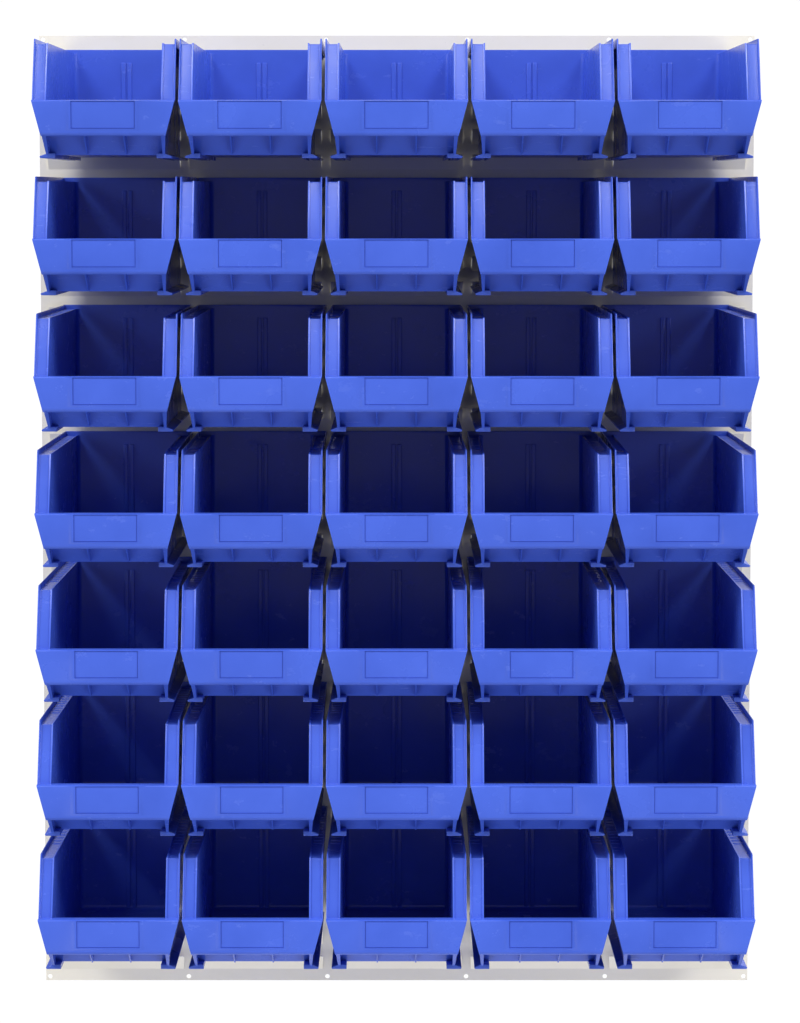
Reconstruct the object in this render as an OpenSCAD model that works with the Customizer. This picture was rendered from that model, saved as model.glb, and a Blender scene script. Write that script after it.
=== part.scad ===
// Louvered wall panel carrying rows of hanging parts bins.
// Millimetres, +Z up. The bins open towards -Y and the panel's back face lies on Y = 0.
// The origin is the centre of the wall bolt pattern, on the panel's back face.
// A bin is drawn in its own frame: X across, Y back from the front lip, Z up from its feet.

/* [Layout] */
// Columns of bins, and of louvers, across the panel
columns = 5; // [1:1:6]
// Rows of bins down the panel
rows = 7; // [1:1:7]
// Spacing of the bin columns
bin_column_pitch = 217.6; // [214:0.2:228]
// Louvers from one row of bins to the next
louvers_per_row = 5; // [5:1:6]

/* [Panel] */
// Height of the steel panel
panel_h = 1549.4; // [1500:0.1:1900]
// Thickness of the steel sheet
sheet_t = 1.5; // [1.2:0.1:2]
// Spacing of the louver columns and of the wall bolts across the panel
hole_pitch_x = 228.6; // [220:0.1:240]
// Distance of the wall bolt holes from the side edges
hole_edge_x = 6.5; // [6:0.1:12]
// Distance of the wall bolt holes from the top and bottom edges
hole_edge_z = 6.5; // [6:0.1:12]
// Diameter of a wall bolt hole
hole_d = 7.5; // [5:0.1:8]
// Width of the flat band between two louver columns
band_w = 15; // [12:0.5:24]
// Spacing of the louvers up the panel
louver_pitch = 41.08; // [38:0.02:44]
// Height of a louver's blade, from its bend to its free edge
blade_h = 24; // [20:0.5:26]
// Height of the slot behind a blade, which is stretched as it is pressed out
slot_h = 20; // [16:0.5:24]
// Height of the lowest louver's free edge above the panel's bottom edge
first_edge_z = 43.7; // [30:0.1:60]

/* [Bin] */
// Overall length, from the label frame to the back of the hanger
bin_l = 374.7; // [300:0.1:460]
// Width over the rims at the front
bin_w = 213; // [200:0.1:214]
// Width over the rims at the back
bin_w_back = 208; // [195:0.1:211]
// Overall height, from the feet to the rims
bin_h = 178; // [160:0.5:190]
// Wall thickness of the moulding
wall = 2.6; // [2:0.1:3]
// Width of the opening between the side walls, at the front
mouth_w = 171; // [165:0.5:175]
// Height of the front lip above the feet
lip_z = 85.5; // [70:0.5:100]
// Depth of the front lip, from front to back
lip_d = 16; // [10:0.5:20]
// Height of the rims above the stacking ledges
rim_h = 8; // [5:0.5:10]
// Height of the label plate's lower edge above the feet
plate_z = 32; // [25:0.5:40]
// Width of the label plate along its lower edge
plate_bottom_w = 184.8; // [178:0.2:190]
// Width of the recess for a label
label_w = 95; // [70:1:100]
// Height of the recess for a label
label_h = 40; // [20:1:40]

/* [Foot] */
// Outer distance over the two foot rails
feet_w = 198; // [190:0.5:200]
// Width of one foot rail
foot_w = 22.6; // [18:0.2:25]
// Height of a foot rail
foot_h = 7; // [5:0.5:9]
// Thickness of the foot rails' outer flanges along their edges
flange_t = 3; // [2.5:0.1:4]
// How far the foot rails start behind the label frame
foot_y = 38; // [30:0.5:50]

/* [Hidden] */
$fn = 48;

// The louver's blade leans out by this much for each millimetre of height.
lean = 0.5;
lean_angle = atan(lean);
panel_w = columns * hole_pitch_x + 2 * hole_edge_x;
louver_w = hole_pitch_x - band_w;
louver_rows = floor((panel_h - first_edge_z - 20) / louver_pitch) + 1;
row_pitch = louvers_per_row * louver_pitch;

// Room between a bin and the louver that it hangs on.
hang_gap = 0.3;
// How far a bin's back wall and hanger stay from the blade between them.
blade_gap = 0.5;
// Thickness of the hanger, and how far it reaches down behind a blade.
hanger_t = 3;
hanger_grip = 12;
hanger_w = bin_w_back - 9;
hanger_run = hanger_t / cos(lean_angle);
hanger_drop = bin_h - hanger_t - hang_gap - hanger_grip;
// Height of a louver's free edge above the feet of the bin that hangs on it.
edge_above_feet = bin_h - hanger_t - hang_gap;
// Front of the bins, so that the hanger's back just clears the flat bands of the sheet.
bin_front_y = -(bin_l + sheet_t + blade_gap);
// Back face of the bin's back wall, just in front of the blades' free edges.
back_y = -bin_front_y - blade_h * lean - sheet_t * cos(lean_angle) - blade_gap + 0.15;
// Louver that carries the bottom row of bins, counted up from the lowest.
bottom_louver = 6;
bottom_row_z = first_edge_z + bottom_louver * louver_pitch - edge_above_feet;

// The side walls, ledges and rims draw together towards the back by this much a side per millimetre.
taper = (bin_w - bin_w_back) / 2 / back_y;
rim_t = 2.5;
rim_half = bin_w / 2;
ledge_half = rim_half - rim_t;
wall_half = mouth_w / 2 + wall;
ledge_z = bin_h - rim_h;
floor_z = 5;
floor_front_y = 63;
// The frame round the label recess stands this far in front of the plate.
frame_proud = 1;
frame_bar = 7;
// How far the front edge of a side wall leans back between the lip and the ledge.
front_lean = 29;
wall_front_y = 11;
// How far the front strip lies behind the edges on its two sides.
strip_recess = 3;
rib_t = 2.2;
gusset_x = 29.5;

blue = [0.16, 0.25, 0.85];
beige = [0.87, 0.86, 0.83];

// Extrudes a Y-Z outline across X, centred on the middle of the bin.
module across(width) {
    rotate([90, 0, 90])
        translate([0, 0, -width / 2])
            linear_extrude(width)
                children();
}

// Plan outline of a bin whose half width at the front is given.
module plan(half, y_front = 0, y_back = back_y) {
    half_a = half - taper * y_front;
    half_b = half - taper * y_back;
    polygon([[-half_a, y_front], [half_a, y_front], [half_b, y_back], [-half_b, y_back]]);
}

// Two long strips, one a side, whose outer and inner faces follow the taper in plan.
module side_strips(outer, inner, y_front = 0, y_back = back_y) {
    intersection() {
        linear_extrude(bin_h)
            difference() {
                plan(outer, y_front, y_back);
                plan(inner, y_front - 1, y_back + 1);
            }
        across(bin_w + 10)
            children();
    }
}

// ---- Panel ----

// Centre of a wall bolt hole in column i, on the bottom (side = -1) or top (side = 1) edge.
function hole_at(i, side) = [
    (i - columns / 2) * hole_pitch_x,
    side * (panel_h / 2 - hole_edge_z)
];

// Height of louver k's bend.
function bend_z(k) = first_edge_z - panel_h / 2 + k * louver_pitch - blade_h;

// Left edge of louver column c.
function louver_x(c) = (c - columns / 2) * hole_pitch_x + band_w / 2;

// The flat sheet with its wall bolt holes and the slots left by the bent blades.
module flat_sheet() {
    rotate([90, 0, 0])
        linear_extrude(sheet_t)
            difference() {
                square([panel_w, panel_h], center = true);
                for (i = [0:columns], side = [-1, 1])
                    translate(hole_at(i, side))
                        circle(d = hole_d);
                for (c = [0:columns - 1], k = [0:louver_rows - 1])
                    translate([louver_x(c), bend_z(k)])
                        square([louver_w, slot_h]);
            }
}

// One column of blades, each bent out and up from its slot's lower edge.
module blade_column() {
    tip = [-blade_h * lean, blade_h];
    normal = sheet_t * [cos(lean_angle), sin(lean_angle)];
    root = sheet_t * (1 / cos(lean_angle) - 1) / lean;
    rotate([90, 0, 90])
        linear_extrude(louver_w)
            for (k = [0:louver_rows - 1])
                translate([0, bend_z(k)])
                    polygon([[0, -root], [0, 0], tip, tip - normal, [-sheet_t, -root]]);
}

module louver_panel() {
    color(beige)
        union() {
            flat_sheet();
            for (c = [0:columns - 1])
                translate([louver_x(c), 0, 0])
                    blade_column();
        }
}

// ---- Bin ----

// Side walls, floor, sloping front wall and back wall.
module hopper() {
    difference() {
        intersection() {
            linear_extrude(bin_h)
                plan(wall_half);
            across(bin_w)
                polygon([
                    [lip_d - wall, lip_z - wall],
                    [wall_front_y, lip_z - wall],
                    [wall_front_y, lip_z],
                    [wall_front_y + front_lean, ledge_z + 1.5],
                    [back_y - wall, ledge_z + 1.5],
                    [back_y - wall, bin_h],
                    [back_y, bin_h],
                    [back_y, floor_z],
                    [floor_front_y, floor_z]
                ]);
        }
        intersection() {
            translate([0, 0, -1])
                linear_extrude(bin_h + 2)
                    plan(wall_half - wall, -1, back_y - wall);
            across(bin_w)
                polygon([
                    [-1, lip_z],
                    [lip_d, lip_z],
                    [floor_front_y + wall / 2, floor_z + wall],
                    [back_y - wall, floor_z + wall],
                    [back_y - wall, bin_h + 2],
                    [-1, bin_h + 2]
                ]);
        }
    }
}

// The side walls' stretch between the sloping front wall and the label plate.
module cheeks() {
    side_strips(wall_half, wall_half - wall)
        polygon([
            [frame_proud + wall / 2, lip_z - wall / 2],
            [lip_d, lip_z - wall / 2],
            [floor_front_y + 1, floor_z + wall / 2],
            [foot_y, floor_z + wall / 2],
            [frame_proud + wall + 2, plate_z + 3]
        ]);
}

// Outline of the label plate seen from the front.
module plate_outline() {
    polygon([
        [-rim_half, lip_z],
        [-plate_bottom_w / 2, plate_z],
        [plate_bottom_w / 2, plate_z],
        [rim_half, lip_z]
    ]);
}

// Front lip and the label plate that hangs from it, with a foot edge that turns back.
module front_plate() {
    turn = 8;
    intersection() {
        rotate([90, 0, 0])
            translate([0, 0, -lip_d - 2])
                linear_extrude(lip_d + 2)
                    plate_outline();
        across(bin_w)
            polygon([
                [frame_proud, lip_z],
                [frame_proud, plate_z + turn],
                [frame_proud + turn / 4, plate_z + turn / 4],
                [frame_proud + turn / 2, plate_z],
                [frame_proud + turn / 2 + wall, plate_z],
                [frame_proud + wall, plate_z + turn + 1],
                [frame_proud + wall, lip_z - wall],
                [lip_d, lip_z - wall],
                [lip_d, lip_z]
            ]);
    }
}

// Returns along the label plate's slanting side edges, back to the front strips.
module plate_returns() {
    depth = lip_d - 1;
    rotate([90, 0, 0])
        translate([0, 0, -depth])
            linear_extrude(depth - frame_proud - wall / 2)
                difference() {
                    plate_outline();
                    polygon([
                        [-rim_half + wall, lip_z + 1],
                        [-plate_bottom_w / 2 + wall, plate_z - 1],
                        [plate_bottom_w / 2 - wall, plate_z - 1],
                        [rim_half - wall, lip_z + 1]
                    ]);
                }
}

// Raised frame round the label recess, up to the lip.
module label_frame() {
    top_bar = 2.5;
    frame_h = label_h + top_bar + 3;
    rotate([90, 0, 0])
        translate([0, 0, -frame_proud - 0.5])
            linear_extrude(frame_proud + 0.5)
                difference() {
                    translate([-label_w / 2 - frame_bar, lip_z - frame_h])
                        square([label_w + 2 * frame_bar, frame_h]);
                    translate([-label_w / 2, lip_z - top_bar - label_h])
                        square([label_w, label_h]);
                }
}

// Stacking ledges along the top, which turn down the front as two recessed strips.
module ledges() {
    low = wall_front_y + strip_recess;
    high = low + front_lean;
    side_strips(rim_half - 0.5, wall_half - 1)
        polygon([
            [low, lip_z - wall],
            [low, lip_z],
            [high, ledge_z],
            [back_y, ledge_z],
            [back_y, ledge_z - wall],
            [high + 1.6, ledge_z - wall],
            [low + 2.6, lip_z - wall]
        ]);
}

// Outer rims, which stand above the ledges and in front of the strips.
module rims() {
    low = wall_front_y - 1;
    side_strips(rim_half, ledge_half)
        polygon([
            [low, lip_z - wall],
            [low, lip_z],
            [low + front_lean, bin_h],
            [back_y, bin_h],
            [back_y, ledge_z - 5],
            [low + front_lean + 8, ledge_z - 5],
            [low + 8, lip_z - wall]
        ]);
}

// Stiffening ribs between the side walls and the ledges above them.
module ledge_ribs() {
    count = 5;
    drop = 26;
    for (side = [0, 1], i = [0:count - 1]) {
        y = 70 + i * (back_y - 100) / (count - 1);
        half = wall_half - taper * y;
        mirror([side, 0, 0])
            translate([0, y, 0])
                rotate([90, 0, 0])
                    linear_extrude(rib_t)
                        polygon([
                            [half - 1, ledge_z - wall / 2],
                            [half + 14, ledge_z - wall / 2],
                            [half + 14, ledge_z - wall - 3],
                            [half + 1, ledge_z - drop],
                            [half - 1, ledge_z - drop]
                        ]);
    }
}

// Two webs that tie the label plate to the sloping front wall.
module plate_gussets() {
    for (x = [-gusset_x, gusset_x])
        translate([x, 0, 0])
            across(rib_t)
                polygon([
                    [frame_proud + 1, lip_z - wall / 2],
                    [lip_d - 1, lip_z - wall / 2],
                    [floor_front_y, floor_z + 1.5],
                    [floor_front_y - 14, floor_z + 2],
                    [frame_proud + wall + 1, plate_z + 6]
                ]);
}

// Foot rails, which stand on the ledges of a bin underneath: an outer flange below the
// side wall and an inner rib, with a closed toe in front and open below.
module feet() {
    inner = feet_w / 2 - foot_w;
    depth = back_y - foot_y - 4;
    for (side = [0, 1])
        mirror([side, 0, 0])
            translate([0, foot_y, 0]) {
                translate([inner, 0, 0])
                    cube([wall, depth, floor_z + 1]);
                translate([inner, 0, 0])
                    cube([wall_half - inner, wall, foot_h]);
                translate([inner, 0, floor_z - 0.5])
                    cube([wall_half - inner, floor_front_y - foot_y + 6, foot_h - floor_z + 0.5]);
                foot_flange(depth);
                side_strips_low(depth);
            }
}

// Outer flange of a foot rail, thick at the side wall and thin along its edge.
module foot_flange(depth) {
    root_x = wall_half - taper * back_y - wall;
    bevel = 1.2;
    translate([0, depth, 0])
        rotate([90, 0, 0])
            linear_extrude(depth)
                polygon([
                    [root_x, 0],
                    [feet_w / 2 - bevel, 0],
                    [feet_w / 2, bevel],
                    [feet_w / 2, flange_t],
                    [wall_half, foot_h],
                    [root_x, foot_h]
                ]);
}

// Stretch of the side walls between the floor and the foot flanges.
module side_strips_low(depth) {
    linear_extrude(floor_z + 1)
        polygon([
            [wall_half - wall - taper * foot_y, 0],
            [wall_half - taper * foot_y, 0],
            [wall_half - taper * (foot_y + depth), depth],
            [wall_half - wall - taper * (foot_y + depth), depth]
        ]);
}

// Corner webs from the label plate's lower corners down to the fronts of the feet.
module corner_webs() {
    outer = plate_bottom_w / 2;
    intersection() {
        across(bin_w)
            polygon([
                [frame_proud + 3, plate_z + 4],
                [frame_proud + 3 + wall, plate_z + 5],
                [foot_y + wall, foot_h / 2],
                [foot_y, foot_h / 2]
            ]);
        for (side = [0, 1])
            mirror([side, 0, 0])
                rotate([90, 0, 0])
                    translate([0, 0, -foot_y - 10])
                        linear_extrude(foot_y + 10)
                            polygon([
                                [wall_half - wall, 0],
                                [wall_half + 1, 0],
                                [outer, plate_z + 1],
                                [outer, plate_z + 6],
                                [wall_half - wall, plate_z + 6]
                            ]);
    }
}

// Pair of broad ribs on the back wall, with the slot for a lengthwise divider between them.
module divider_slot() {
    broad = 7;
    slot = 3;
    proud = 1.8;
    for (side = [-1, 1])
        translate([side * (slot + broad) / 2 - broad / 2, back_y - wall - proud, floor_z + 1])
            cube([broad, proud + 1, bin_h - 21 - floor_z - 1]);
}

// Closes the back ends of the ledges and carries the hanger that hooks over a louver.
module hanger() {
    half = rim_half - taper * back_y;
    translate([-half, back_y - wall, ledge_z - 5])
        cube([2 * half, wall, bin_h - ledge_z + 5]);
    bottom_z = hanger_drop;
    top_back = bin_l - lean * (bin_h - bottom_z);
    under_front = bin_l - hanger_run - lean * (bin_h - hanger_t - bottom_z);
    across(hanger_w)
        polygon([
            [back_y - 1, bin_h],
            [top_back, bin_h],
            [bin_l, bottom_z],
            [bin_l - hanger_run, bottom_z],
            [under_front, bin_h - hanger_t],
            [back_y - 1, bin_h - hanger_t]
        ]);
}

module bin() {
    color(blue)
        union() {
            hopper();
            cheeks();
            front_plate();
            plate_returns();
            label_frame();
            ledges();
            rims();
            ledge_ribs();
            plate_gussets();
            feet();
            corner_webs();
            divider_slot();
            hanger();
        }
}

// Feet of the bin in row r, counted from the top, and column c, counted from the left.
function bin_at(r, c) = [
    (c - (columns + 1) / 2) * bin_column_pitch,
    bin_front_y,
    bottom_row_z - panel_h / 2 + (rows - r) * row_pitch
];

louver_panel();
for (r = [1:rows], c = [1:columns])
    translate(bin_at(r, c)) bin();
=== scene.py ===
"""Looks of the louvered wall panel with its hanging parts bins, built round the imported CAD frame.

Metres, +Z up, the bins open towards -Y. A bin's own shape is worked out in millimetres, in the
bin's frame: X across, Y back from the front lip, Z up from the feet.
"""

import math

import bmesh
import bpy
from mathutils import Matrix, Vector


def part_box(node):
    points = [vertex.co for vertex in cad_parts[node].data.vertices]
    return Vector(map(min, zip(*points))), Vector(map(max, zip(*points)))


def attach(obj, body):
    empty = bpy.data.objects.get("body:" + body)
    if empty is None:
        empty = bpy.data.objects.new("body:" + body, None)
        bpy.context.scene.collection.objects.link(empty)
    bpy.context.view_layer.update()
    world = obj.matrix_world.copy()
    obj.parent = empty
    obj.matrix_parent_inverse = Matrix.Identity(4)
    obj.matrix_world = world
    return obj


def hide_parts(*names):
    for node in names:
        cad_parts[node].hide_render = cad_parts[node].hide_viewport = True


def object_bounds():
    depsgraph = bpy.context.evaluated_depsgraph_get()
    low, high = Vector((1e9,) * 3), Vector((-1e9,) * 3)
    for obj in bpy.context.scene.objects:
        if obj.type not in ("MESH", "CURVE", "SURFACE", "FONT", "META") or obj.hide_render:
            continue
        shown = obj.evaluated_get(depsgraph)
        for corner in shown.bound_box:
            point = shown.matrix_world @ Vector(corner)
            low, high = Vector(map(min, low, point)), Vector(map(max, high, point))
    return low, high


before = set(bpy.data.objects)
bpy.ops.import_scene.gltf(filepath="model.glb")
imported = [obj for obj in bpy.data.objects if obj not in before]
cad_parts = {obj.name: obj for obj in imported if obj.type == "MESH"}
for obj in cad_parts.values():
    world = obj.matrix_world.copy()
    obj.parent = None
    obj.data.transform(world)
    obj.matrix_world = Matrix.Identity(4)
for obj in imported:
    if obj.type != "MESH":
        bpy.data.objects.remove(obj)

cad_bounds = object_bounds()

MM = 0.001
PANEL = "louver_panel"
BINS = sorted(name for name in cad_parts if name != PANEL)

# ---- Sizes, in millimetres, from the frame where the frame says them ----

bin_low, bin_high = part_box(BINS[0])
BIN_W = (bin_high.x - bin_low.x) / MM
BIN_L = (bin_high.y - bin_low.y) / MM
BIN_H = (bin_high.z - bin_low.z) / MM

WALL = 2.6
RIM_T = 2.5
RIM_HALF = BIN_W / 2
WALL_IN = 85.5
WALL_OUT = WALL_IN + WALL
LEDGE_Z = BIN_H - 8
LIP_Z = 85.5
LIP_D = 16
PLATE_Z = 32
PLATE_HALF = 92.4
FRAME_PROUD = 1
RECESS_HALF = 47.5
RECESS_LOW = 43
RECESS_HIGH = 84.1
FLOOR_Z = 5
FLOOR_Y = 63
BACK_Y = BIN_L - 11.7
FOOT_Y = 38
FOOT_HALF = 99
FOOT_W = 22.6
FOOT_H = 7
FLANGE_T = 3
FRONT_LEAN = 29
STRIP_Y = 14
GUSSET_X = 29.5
HANGER_T = 3
HANGER_HALF = 99.5
HANGER_GRIP = 12.3
HANGER_LEAN = 0.5
# The walls draw together towards the back by this much a side.
BACK_INSET = 2.5


# ---- Mesh tools ----

def new_bmesh(points, faces):
    """A closed solid from its points and faces, with its normals outwards."""
    bm = bmesh.new()
    verts = [bm.verts.new(p) for p in points]
    for face in faces:
        bm.faces.new([verts[i] for i in face])
    bmesh.ops.recalc_face_normals(bm, faces=bm.faces)
    return bm


def skin(count):
    """Faces between two outlines of this many points, and the two ends."""
    sides = [(i, (i + 1) % count, count + (i + 1) % count, count + i) for i in range(count)]
    ends = [tuple(range(count)), tuple(range(2 * count - 1, count - 1, -1))]
    return sides + ends


def prism(outline, low, high, axis):
    """An outline pushed along an axis. The outline's pairs are the other two axes, in order."""
    def place(pair, value):
        spot = list(pair)
        spot.insert("xyz".index(axis), value)
        return spot

    points = [place(p, low) for p in outline] + [place(p, high) for p in outline]
    return new_bmesh(points, skin(len(outline)))


def block(low, high):
    """A box between two corners."""
    outline = [(low[0], low[1]), (high[0], low[1]), (high[0], high[1]), (low[0], high[1])]
    return prism(outline, low[2], high[2], "z")


def round_edges(bm, radius, segments=3, pick=lambda a, b: True, least=25):
    """Rounds the edges that pick accepts and that turn by more than `least` degrees."""
    chosen = [
        e for e in bm.edges
        if len(e.link_faces) == 2
        and e.calc_face_angle(0) > math.radians(least)
        and pick(e.verts[0].co, e.verts[1].co)
    ]
    bmesh.ops.bevel(
        bm, geom=chosen, offset=radius, offset_type="OFFSET", segments=segments,
        profile=0.5, affect="EDGES", clamp_overlap=True)
    return bm


def mirrored(bm):
    """The same solid on the other side of the bin."""
    twin = bm.copy()
    bmesh.ops.scale(twin, vec=(-1, 1, 1), verts=twin.verts)
    bmesh.ops.reverse_faces(twin, faces=twin.faces)
    return twin


def both_sides(bm):
    """A right-hand solid and its left-hand twin."""
    return [bm, mirrored(bm)]


def corner_arc(before, corner, after, radius, steps):
    """Points that round a path's corner, from one straight stretch to the next."""
    before, corner, after = Vector(before), Vector(corner), Vector(after)
    start = corner + (before - corner).normalized() * radius
    end = corner + (after - corner).normalized() * radius
    found = []
    for i in range(steps + 1):
        t = i / steps
        found.append((1 - t) ** 2 * start + 2 * t * (1 - t) * corner + t ** 2 * end)
    return found


def placed(data, name):
    """A new object in the scene for a mesh, a light's data or a camera's data."""
    ob = bpy.data.objects.new(name, data)
    bpy.context.scene.collection.objects.link(ob)
    return ob


def as_object(bm, name):
    """A new object in the scene from a bmesh, which is used up."""
    mesh = bpy.data.meshes.new(name)
    bm.to_mesh(mesh)
    bm.free()
    return placed(mesh, name)


def combined(base, others, operation="UNION"):
    """The base object with the others added to it or cut from it, as one closed mesh.

    The objects themselves are removed.
    """
    for other in others:
        step = base.modifiers.new("join", "BOOLEAN")
        step.operation = operation
        step.solver = "MANIFOLD"
        step.object = other
    depsgraph = bpy.context.evaluated_depsgraph_get()
    mesh = bpy.data.meshes.new_from_object(base.evaluated_get(depsgraph))
    for ob in [base, *others]:
        bpy.data.objects.remove(ob)
    return mesh


# ---- The bin, part by part ----

def hopper():
    """Outside of the side walls, floor, back and sloping front, before the inside is cut out."""
    front, top = STRIP_Y - 3, LEDGE_Z + 1.5
    outline = [
        (LIP_D - WALL, LIP_Z - WALL),
        (front, LIP_Z - WALL),
        (front, LIP_Z),
        (front + FRONT_LEAN, top),
        (BACK_Y - WALL, top),
        (BACK_Y - WALL, BIN_H),
        (BACK_Y, BIN_H),
        (BACK_Y, FLOOR_Z),
        (FLOOR_Y, FLOOR_Z),
    ]
    bm = prism(outline, -WALL_OUT, WALL_OUT, "x")

    def rim(a, b):
        return min(a.z, b.z) > LIP_Z - 0.1 and max(a.y, b.y) < BACK_Y - 1

    return round_edges(bm, 0.9, 2, rim)


def cavity():
    """Inside of the hopper, open above the lip, with rounded corners."""
    outline = [
        (-5, LIP_Z),
        (LIP_D, LIP_Z),
        (FLOOR_Y + WALL / 2, FLOOR_Z + WALL),
        (BACK_Y - WALL, FLOOR_Z + WALL),
        (BACK_Y - WALL, BIN_H + 5),
        (-5, BIN_H + 5),
    ]
    bm = prism(outline, -WALL_IN, WALL_IN, "x")

    def inside(a, b):
        at_lip = max(a.y, b.y) < LIP_D + 1
        at_top = min(a.z, b.z) > BIN_H
        return not at_lip and not at_top

    return round_edges(bm, 7, 5, inside, 15)


def cheek():
    """The side wall between the sloping front wall and the label plate."""
    outline = [
        (FRAME_PROUD + WALL / 2, LIP_Z - 1),
        (LIP_D, LIP_Z - 1),
        (FLOOR_Y + 1, FLOOR_Z + 1),
        (FOOT_Y, FLOOR_Z + 1),
        (FRAME_PROUD + WALL + 2, PLATE_Z + 3),
    ]
    return prism(outline, WALL_IN, WALL_OUT, "x")


def plate_reach(z):
    """Half width of the label plate at a height."""
    return PLATE_HALF + (RIM_HALF - PLATE_HALF) * (z - PLATE_Z) / (LIP_Z - PLATE_Z)


def front_plate():
    """Front lip and label plate as one bent sheet, with a rolled lower edge and a rounded lip."""
    lip_round, roll, roll_turn = 3, 6, math.radians(62)
    front = FRAME_PROUD
    outer = [(front, LIP_Z - lip_round)]
    for i in range(1, 5):
        turn = math.radians(90 * i / 4)
        y = front + lip_round - lip_round * math.cos(turn)
        outer.append((y, LIP_Z - lip_round + lip_round * math.sin(turn)))
    rear = [
        (LIP_D - 1, LIP_Z),
        (LIP_D - 0.3, LIP_Z - 0.3),
        (LIP_D, LIP_Z - 1),
        (LIP_D, LIP_Z - WALL),
        (front + WALL + 2, LIP_Z - WALL),
        (front + WALL, LIP_Z - WALL - 2),
    ]
    low_inner, low_outer = [], []
    for i in range(6):
        turn = roll_turn * i / 5
        y = roll * (1 - math.cos(turn))
        z = PLATE_Z + roll * (1 - math.sin(turn) / math.sin(roll_turn))
        low_outer.append((front + y, z))
        low_inner.append((front + y + WALL * math.cos(turn), z + WALL * math.sin(turn) * 0.8))
    outline = outer + rear + low_inner + low_outer[::-1]
    left = [(-plate_reach(z), y, z) for y, z in outline]
    right = [(plate_reach(z), y, z) for y, z in outline]
    return new_bmesh(left + right, skin(len(outline)))


def plate_return():
    """Return along the plate's slanting right edge."""
    outline = [
        (plate_reach(LIP_Z - 0.6), LIP_Z - 0.6),
        (plate_reach(LIP_Z - 0.6) - WALL, LIP_Z - 0.6),
        (plate_reach(PLATE_Z + 1) - WALL, PLATE_Z + 1),
        (plate_reach(PLATE_Z + 1), PLATE_Z + 1),
    ]
    bm = prism(outline, FRAME_PROUD + 1.2, LIP_D - 1, "y")

    def rear_edge(a, b):
        return min(a.x, b.x) > plate_reach(PLATE_Z) and min(a.y, b.y) > 5

    return round_edges(bm, 0.7, 2, rear_edge)


def label_frame():
    """Low frame round the label recess, steep inside and fading outwards into the plate."""
    sides_out, below_out, fade = RECESS_HALF + 11, RECESS_LOW - 5, 6
    corners = [(-1, -1), (1, -1), (1, 1), (-1, 1)]

    def ring(half, low, high, y):
        return [(sx * half, y, low if sz < 0 else high) for sx, sz in corners]

    loops = [
        ring(sides_out, below_out, LIP_Z - 0.8, FRAME_PROUD + 0.6),
        ring(sides_out - fade, RECESS_LOW - 1.4, LIP_Z - 1.1, 0),
        ring(RECESS_HALF, RECESS_LOW, RECESS_HIGH, 0),
        ring(RECESS_HALF, RECESS_LOW, RECESS_HIGH, FRAME_PROUD + 0.6),
    ]
    points = [p for loop in loops for p in loop]
    faces = []
    for k in range(4):
        nxt = (k + 1) % 4
        for i in range(4):
            j = (i + 1) % 4
            faces.append((4 * k + i, 4 * k + j, 4 * nxt + j, 4 * nxt + i))
    return new_bmesh(points, faces)


def label_groove():
    """Fine groove in the recess along its side and lower edges."""
    wide, deep = 1.1, FRAME_PROUD + 0.8
    side = block((RECESS_HALF - wide, -1, RECESS_LOW), (RECESS_HALF, deep, RECESS_HIGH))
    low = block((-RECESS_HALF, -1, RECESS_LOW), (RECESS_HALF, deep, RECESS_LOW + wide))
    return [*both_sides(side), low]


def flange_section():
    """Points of the flange's section.

    Each is the distance across, the share of the rim's height and the share of the skirt's
    depth.
    """
    section = [(WALL_OUT - 1.2, 0, 0), (WALL_OUT + 4, 0, 0)]
    radius = 1.8
    inner = RIM_HALF - RIM_T
    for i in range(7):
        turn = math.radians(90 * i / 6)
        section.append((inner - radius + radius * math.sin(turn), 0.21 * (1 - math.cos(turn)), 0))
    section += [
        (inner + 0.15, 0.85, 0),
        (inner + 0.8, 1, 0),
        (RIM_HALF - 0.8, 1, 0),
        (RIM_HALF - 0.2, 0.93, 0),
        (RIM_HALF, 0.8, 0),
        (RIM_HALF, 0, 1),
        (inner + 0.4, 0, 1),
        (inner, 0, 0.5),
        (WALL_OUT - 1.2, 0, 0.5),
    ]
    return section


def flange():
    """Stacking ledge and rim along the top, turning down the front as the strip beside the mouth."""
    high_y = STRIP_Y + FRONT_LEAN
    base = [(STRIP_Y, LIP_Z - 1), (high_y, LEDGE_Z), (BACK_Y, LEDGE_Z)]
    rim = [(STRIP_Y - 4, LIP_Z - 1), (high_y - 4, BIN_H), (BACK_Y, BIN_H)]
    skirt = [(STRIP_Y + 5.5, LIP_Z - 1), (high_y + 4, LEDGE_Z - 5.2), (BACK_Y, LEDGE_Z - 5.2)]
    section = flange_section()
    steps = 6

    def along(path, radius):
        return [Vector(path[0]), *corner_arc(*path, radius, steps), Vector(path[2])]

    base_run, rim_run, skirt_run = along(base, 1.4), along(rim, 2.0), along(skirt, 3)
    stations = len(base_run)
    points = []
    for k in range(stations):
        for across, up, down in section:
            y, z = base_run[k] + (rim_run[k] - base_run[k]) * up + (skirt_run[k] - base_run[k]) * down
            points.append((across, y, z))
    n = len(section)
    faces = []
    for k in range(stations - 1):
        for i in range(n):
            j = (i + 1) % n
            faces.append((k * n + i, k * n + j, (k + 1) * n + j, (k + 1) * n + i))
    faces += [tuple(range(n)), tuple(range(stations * n - 1, (stations - 1) * n - 1, -1))]
    return new_bmesh(points, faces)


def treads():
    """Low bars across the ledge, which keep a stacked bin from sliding."""
    pitch, count, height, last = 19.5, 12, 1.1, 14
    bars = []
    for i in range(count):
        y = BACK_Y - last - i * pitch
        root, crest = LEDGE_Z - 0.5, LEDGE_Z + height
        outline = [(y, root), (y + 4, root), (y + 3.2, crest), (y + 0.8, crest)]
        bars.append(prism(outline, WALL_OUT + 1, RIM_HALF - RIM_T - 0.5, "x"))
    return merged(bars)


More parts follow.
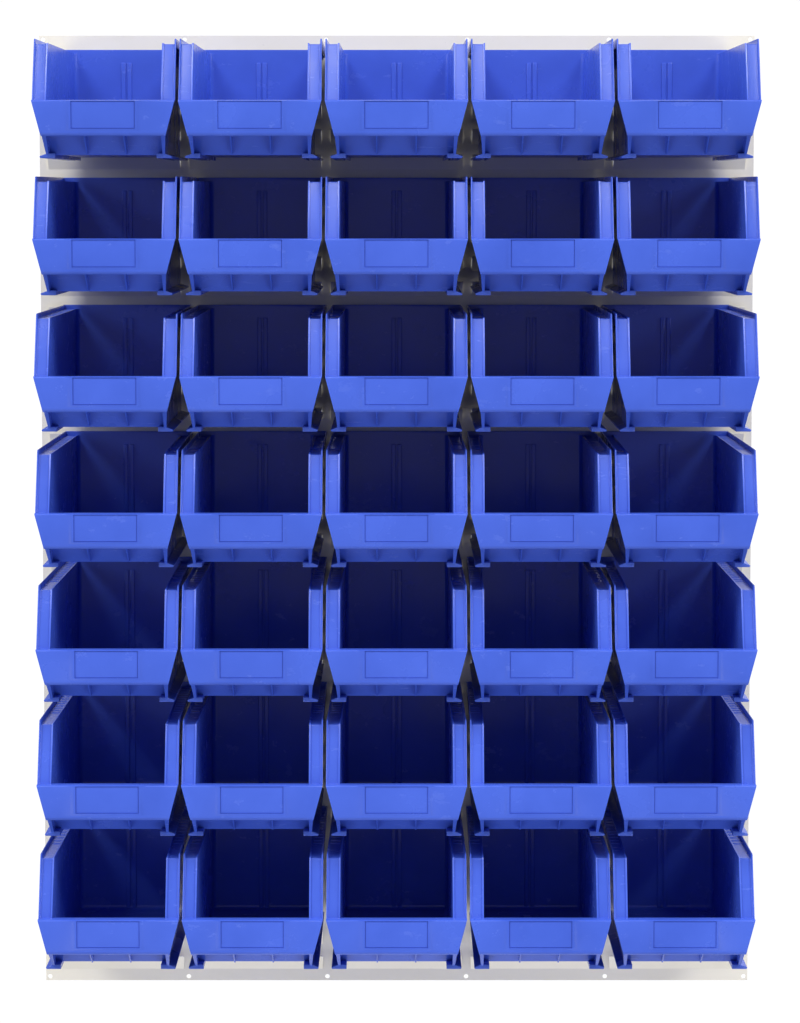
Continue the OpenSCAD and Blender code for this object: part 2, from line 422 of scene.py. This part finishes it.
def merged(parts):
    """Separate solids in one mesh."""
    whole = bmesh.new()
    for part in parts:
        held = bpy.data.meshes.new("held")
        part.to_mesh(held)
        part.free()
        whole.from_mesh(held)
        bpy.data.meshes.remove(held)
    return whole


def ledge_ribs():
    """Triangular ribs between the side wall and the ledge."""
    count, drop, reach, thick = 5, 26, 14, 2.2
    first, margins = 70, 100
    ribs = []
    for i in range(count):
        y = first + i * (BACK_Y - margins) / (count - 1)
        outline = [
            (WALL_OUT - 1, LEDGE_Z - 1),
            (WALL_OUT + reach, LEDGE_Z - 1),
            (WALL_OUT + reach, LEDGE_Z - WALL - 3),
            (WALL_OUT + 1, LEDGE_Z - drop),
            (WALL_OUT - 1, LEDGE_Z - drop),
        ]
        ribs.append(round_edges(prism(outline, y - thick, y, "y"), 0.5, 2))
    return merged(ribs)


def gusset(x):
    """Web that ties the label plate to the sloping front wall."""
    half = 1.1
    outline = [
        (FRAME_PROUD + 1, LIP_Z - 1),
        (LIP_D - 1, LIP_Z - 1),
        (FLOOR_Y, FLOOR_Z + 1.5),
        (FLOOR_Y - 14, FLOOR_Z + 2),
        (FRAME_PROUD + WALL + 1, PLATE_Z + 6),
    ]
    return round_edges(prism(outline, x - half, x + half, "x"), 0.5, 2)


def foot():
    """Right foot rail: outer flange, inner rib and closed toe."""
    inner = FOOT_HALF - FOOT_W
    depth = BACK_Y - 4
    section = [
        (WALL_IN, 0), (FOOT_HALF - 1.2, 0), (FOOT_HALF, 1.2), (FOOT_HALF, FLANGE_T),
        (WALL_OUT, FOOT_H), (WALL_IN, FOOT_H),
    ]
    flange_part = prism(section, FOOT_Y, depth, "y")

    def outer_or_front(a, b):
        return min(a.x, b.x) > WALL_OUT or max(a.y, b.y) < FOOT_Y + 1

    round_edges(flange_part, 0.9, 3, outer_or_front)
    toe = block((inner, FOOT_Y, FLOOR_Z - 0.8), (WALL_OUT, FLOOR_Y + 6, FOOT_H + 0.1))
    front = block((inner, FOOT_Y, 0), (WALL_OUT, FOOT_Y + WALL, FOOT_H + 0.1))
    round_edges(front, 1.0, 3, lambda a, b: max(a.y, b.y) < FOOT_Y + 0.5)
    return [
        flange_part,
        round_edges(toe, 0.8, 2, lambda a, b: min(a.z, b.z) > 6.9),
        front,
        block((inner, FOOT_Y + 1, 0), (inner + WALL, depth, FLOOR_Z + 1)),
        block((WALL_IN, FOOT_Y + 1, 0), (WALL_OUT, depth, FLOOR_Z + 1)),
    ]


def corner_web():
    """Pillar from the label plate's lower right corner down to the toe."""
    top, bottom = PLATE_Z + 5, 5
    top_y, bottom_y = FRAME_PROUD + 3.2, FOOT_Y
    reach_top, reach_bottom = plate_reach(PLATE_Z + 1) - 0.2, WALL_OUT + 1.2
    points = [
        (WALL_IN, bottom_y, bottom), (reach_bottom, bottom_y, bottom),
        (reach_bottom, bottom_y + WALL, bottom), (WALL_IN, bottom_y + WALL, bottom),
        (WALL_IN, top_y, top), (reach_top, top_y, top),
        (reach_top, top_y + WALL, top + 1), (WALL_IN, top_y + WALL, top + 1),
    ]
    faces = [(0, 1, 2, 3), (4, 5, 6, 7), (0, 1, 5, 4), (1, 2, 6, 5), (2, 3, 7, 6), (3, 0, 4, 7)]
    return round_edges(new_bmesh(points, faces), 0.7, 2, lambda a, b: min(a.x, b.x) > WALL_OUT)


def divider_rib():
    """Right one of the two broad ribs whose gap takes a lengthwise divider."""
    broad, slot, proud = 7, 3, 1.8
    low = (slot / 2, BACK_Y - WALL - proud, FLOOR_Z + 1)
    high = (slot / 2 + broad, BACK_Y - 1, BIN_H - 21)
    return round_edges(block(low, high), 0.9, 3, lambda a, b: max(a.y, b.y) < BACK_Y - WALL)


def hanger():
    """Cross bar that closes the ledges' back ends, and the hook behind it."""
    bar = block((-RIM_HALF, BACK_Y - WALL, LEDGE_Z - 5), (RIM_HALF, BACK_Y, BIN_H))
    round_edges(bar, 0.9, 2, lambda a, b: min(a.z, b.z) > BIN_H - 0.1)
    run = HANGER_T * math.hypot(1, HANGER_LEAN)
    tip_z = BIN_H - HANGER_T - HANGER_GRIP
    under_y = BIN_L - run - HANGER_LEAN * (BIN_H - HANGER_T - tip_z)
    outline = [
        (BACK_Y - 1, BIN_H - 0.2),
        (BIN_L - HANGER_LEAN * (BIN_H - tip_z), BIN_H - 0.2),
        (BIN_L, tip_z),
        (BIN_L - run, tip_z),
        (under_y, BIN_H - HANGER_T),
        (BACK_Y - 1, BIN_H - HANGER_T),
    ]
    hook = prism(outline, -HANGER_HALF, HANGER_HALF, "x")
    return [bar, round_edges(hook, 0.7, 2, lambda a, b: min(a.y, b.y) > BACK_Y + 0.5)]


def taper(mesh):
    """Draws the bin together towards the back and turns millimetres into metres.

    The feet's outer flanges and the hook keep their width.
    """
    for v in mesh.vertices:
        inset = BACK_INSET * max(v.co.y, 0) / BACK_Y
        share = min(abs(v.co.x) / WALL_OUT, 1)
        is_foot = v.co.z < FLOOR_Z - 0.9 and abs(v.co.x) > WALL_OUT + 1
        is_hook = v.co.y > BACK_Y + 0.1
        if not is_foot and not is_hook:
            v.co.x -= math.copysign(inset * share, v.co.x)
        v.co *= MM


def smooth_faces(mesh, angle=32):
    """Shades the faces smooth, and keeps edges that turn by more than the angle sharp."""
    mesh.polygons.foreach_set("use_smooth", [True] * len(mesh.polygons))
    mesh.set_sharp_from_angle(angle=math.radians(angle))


def bin_mesh():
    """One bin's whole moulding as a closed mesh, in metres, in the bin's own frame."""
    body = as_object(hopper(), "hopper")
    base = placed(combined(body, [as_object(cavity(), "cavity")], "DIFFERENCE"), "moulding")
    parts = [front_plate(), label_frame(), gusset(-GUSSET_X), gusset(GUSSET_X), *hanger()]
    halves = [
        cheek(), plate_return(), flange(), treads(), ledge_ribs(), corner_web(), divider_rib(),
        *foot(),
    ]
    for half in halves:
        parts += both_sides(half)
    whole = placed(combined(base, [as_object(bm, "part") for bm in parts]), "whole")
    mesh = combined(whole, [as_object(bm, "groove") for bm in label_groove()], "DIFFERENCE")
    taper(mesh)
    smooth_faces(mesh)
    mesh.name = "bin_moulding"
    return mesh


# ---- Materials ----

class Nodes:
    """Short way to add and link shader nodes."""

    def __init__(self, material):
        material.use_nodes = True
        self.tree = material.node_tree
        self.surface = self.tree.nodes["Principled BSDF"]

    def add(self, kind, inputs=None, **settings):
        node = self.tree.nodes.new(kind)
        for key, value in settings.items():
            setattr(node, key, value)
        for key, value in (inputs or {}).items():
            self.feed(node, key, value)
        return node

    def feed(self, node, key, value):
        if isinstance(value, bpy.types.NodeSocket):
            self.tree.links.new(value, node.inputs[key])
        else:
            node.inputs[key].default_value = value

    def noise(self, where, scale, detail=4.0, roughness=0.55):
        wanted = {"Vector": where, "Scale": scale, "Detail": detail, "Roughness": roughness}
        return self.add("ShaderNodeTexNoise", wanted).outputs["Fac"]

    def spread(self, value, low, high, to_low, to_high):
        wanted = {0: value, 1: low, 2: high, 3: to_low, 4: to_high}
        return self.add("ShaderNodeMapRange", wanted, clamp=True).outputs[0]

    def mixed(self, share, a, b):
        wanted = {0: share, 6: a, 7: b}
        return self.add("ShaderNodeMix", wanted, data_type="RGBA").outputs[2]

    def maths(self, a, b, operation="ADD"):
        return self.add("ShaderNodeMath", {0: a, 1: b}, operation=operation).outputs[0]

    def bumped(self, height, strength, distance, normal=None):
        wanted = {"Height": height, "Strength": strength, "Distance": distance}
        if normal is not None:
            wanted["Normal"] = normal
        return self.add("ShaderNodeBump", wanted).outputs["Normal"]


def stretched(nodes, where, scale):
    """The coordinates scaled by a different amount on each axis."""
    return nodes.add("ShaderNodeMapping", {"Vector": where, "Scale": scale}).outputs["Vector"]


def bin_plastic():
    """Glossy blue moulded plastic: cloudy tint and gloss, flow marks, fine grain, and whitish streaks
    that are partly scuffs and partly a painted sheen.
    """
    material = bpy.data.materials.new("bin_plastic_blue")
    n = Nodes(material)
    random = n.add("ShaderNodeObjectInfo").outputs["Random"]
    far = n.maths(random, 31.0, "MULTIPLY")
    shifted = n.add("ShaderNodeCombineXYZ", {0: far, 1: random, 2: random})
    own = n.add("ShaderNodeTexCoord").outputs["Object"]
    where = n.add("ShaderNodeVectorMath", {0: own, 1: shifted.outputs[0]}, operation="ADD").outputs[0]
    cloud = n.noise(where, 9.0, 5.0)
    grain = n.noise(where, 420.0, 2.0)
    flow = n.noise(stretched(n, where, (30.0, 4.0, 5.0)), 2.0, 3.0)
    # Stretched noise for the whitish streaks, which are partly real scuffs and partly a painted
    # sheen.
    scuffs_and_sheen = n.noise(stretched(n, where, (26.0, 260.0, 40.0)), 1.0, 6.0, 0.7)
    scuff_and_sheen_mask = n.spread(scuffs_and_sheen, 0.60, 0.74, 0.0, 1.0)
    tint = n.spread(cloud, 0.3, 0.7, 0.0, 1.0)
    base = n.mixed(tint, (0.048, 0.106, 0.58, 1), (0.062, 0.132, 0.68, 1))
    base = n.mixed(n.spread(random, 0.0, 1.0, 0.0, 0.22), base, (0.066, 0.125, 0.62, 1))
    # Mixes the whitish streaks into the base colour: partly scuff wear, partly a painted sheen.
    base = n.mixed(n.maths(scuff_and_sheen_mask, 0.15, "MULTIPLY"), base, (0.22, 0.32, 0.86, 1))
    n.feed(n.surface, "Base Color", base)
    rough = n.maths(n.spread(cloud, 0.3, 0.75, 0.19, 0.31), n.maths(scuff_and_sheen_mask, 0.14, "MULTIPLY"))
    n.feed(n.surface, "Roughness", rough)
    n.surface.inputs["IOR"].default_value = 1.5
    normal = n.bumped(flow, 0.25, 0.0006)
    normal = n.bumped(grain, 0.10, 0.00008, normal)
    n.feed(n.surface, "Normal", normal)
    return material


def panel_paint():
    """Satin light beige powder coat on steel: orange peel, faint stains and small dark specks."""
    material = bpy.data.materials.new("panel_paint_beige")
    n = Nodes(material)
    where = n.add("ShaderNodeTexCoord").outputs["Object"]
    cloud = n.noise(where, 5.0, 6.0, 0.6)
    peel = n.noise(where, 900.0, 2.0)
    speck = n.noise(where, 160.0, 3.0)
    tint = n.spread(cloud, 0.35, 0.7, 0.0, 1.0)
    base = n.mixed(tint, (0.86, 0.82, 0.71, 1), (0.91, 0.87, 0.77, 1))
    base = n.mixed(n.spread(speck, 0.70, 0.82, 0.0, 0.35), base, (0.48, 0.45, 0.40, 1))
    n.feed(n.surface, "Base Color", base)
    n.feed(n.surface, "Roughness", n.spread(cloud, 0.3, 0.7, 0.38, 0.52))
    n.feed(n.surface, "Normal", n.bumped(peel, 0.18, 0.0001))
    return material


def floor_material():
    """Matt white floor that fades into the white surroundings away from the wall unit."""
    fade_from, fade_to = 0.5, 1.05
    material = bpy.data.materials.new("floor_pale")
    n = Nodes(material)
    where = n.add("ShaderNodeTexCoord").outputs["Object"]
    cloud = n.noise(where, 1.3, 4.0)
    n.feed(n.surface, "Base Color", n.mixed(cloud, (0.86, 0.86, 0.86, 1), (0.90, 0.90, 0.90, 1)))
    n.feed(n.surface, "Roughness", n.spread(cloud, 0.3, 0.7, 0.7, 0.85))
    away = n.add("ShaderNodeVectorMath", {0: where}, operation="LENGTH").outputs["Value"]
    n.feed(n.surface, "Alpha", n.spread(away, fade_from, fade_to, 1.0, 0.0))
    return material


# ---- The model ----

def hang_bins(material):
    """One piece for each bin, all sharing one mesh, each riding on its own bin's body."""
    mesh = bin_mesh()
    mesh.materials.clear()
    mesh.materials.append(material)
    for node in BINS:
        low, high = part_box(node)
        piece = placed(mesh, node + "_moulding")
        piece.location = ((low.x + high.x) / 2, low.y, low.z)
        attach(piece, node)
        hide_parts(node)


def dress_panel(material):
    """Paint on the panel's own CAD mesh."""
    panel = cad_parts[PANEL]
    panel.data.materials.clear()
    panel.data.materials.append(material)


def add_floor():
    """Pale floor below the wall unit, wide enough for its fade."""
    drop, reach = 0.4, 1.2
    bm = bmesh.new()
    bmesh.ops.create_grid(bm, x_segments=8, y_segments=8, size=reach)
    floor = as_object(bm, "floor")
    floor.data.materials.append(floor_material())
    floor.location.z = cad_bounds[0][2] - drop


def add_light(name, azimuth, elevation, strength, spread):
    """Broad soft light from far off. Azimuth is from straight ahead, positive to the right."""
    data = bpy.data.lights.new(name, "SUN")
    data.energy = strength
    data.angle = math.radians(spread)
    light = placed(data, name)
    turn, rise = math.radians(azimuth), math.radians(elevation)
    level = math.cos(rise)
    source = Vector((math.sin(turn) * level, -math.cos(turn) * level, math.sin(rise)))
    light.rotation_euler = (-source).to_track_quat("-Z", "Y").to_euler()


def add_lights():
    """Keys from above, bounce from below, weaker light from the sides and behind, white world."""
    add_light("key_left", -42, 50, 1.66, 22)
    add_light("key_right", 42, 50, 1.52, 22)
    add_light("top_front", 0, 45, 0.24, 10)
    add_light("side_left", -76, 16, 0.9, 26)
    add_light("side_right", 76, 16, 0.9, 26)
    add_light("bounce_left", -38, -30, 0.55, 40)
    add_light("bounce_right", 38, -30, 0.55, 40)
    add_light("rear_fill", 160, 35, 0.7, 60)
    world = bpy.data.worlds.new("studio")
    bpy.context.scene.world = world
    world.use_nodes = True
    tree = world.node_tree
    back = tree.nodes["Background"]
    back.inputs["Color"].default_value = (1, 1, 1, 1)
    back.inputs["Strength"].default_value = 0.3
    seen = tree.nodes.new("ShaderNodeBackground")
    seen.inputs["Color"].default_value = (1, 1, 1, 1)
    seen.inputs["Strength"].default_value = 1.05
    ray = tree.nodes.new("ShaderNodeLightPath")
    mix = tree.nodes.new("ShaderNodeMixShader")
    tree.links.new(ray.outputs["Is Camera Ray"], mix.inputs[0])
    tree.links.new(back.outputs[0], mix.inputs[1])
    tree.links.new(seen.outputs[0], mix.inputs[2])
    tree.links.new(mix.outputs[0], tree.nodes["World Output"].inputs["Surface"])


def add_camera():
    """Far in front of the bins, level with the second row, with part of the drop taken as shift."""
    aside, distance, height, look_down = 0.0053, 4.063, 1.295, 3.445
    data = bpy.data.cameras.new("camera")
    data.sensor_width = 36
    data.lens = 96.2
    data.shift_y = -0.15
    data.clip_end = 100
    camera = placed(data, "camera")
    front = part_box(BINS[0])[0].y
    camera.location = (aside, front - distance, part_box(PANEL)[0].z + height)
    camera.rotation_euler = (math.radians(90 - look_down), 0, 0)
    bpy.context.scene.camera = camera


hang_bins(bin_plastic())
dress_panel(panel_paint())
add_floor()
add_lights()
add_camera()
bpy.context.scene.view_settings.view_transform = "Standard"
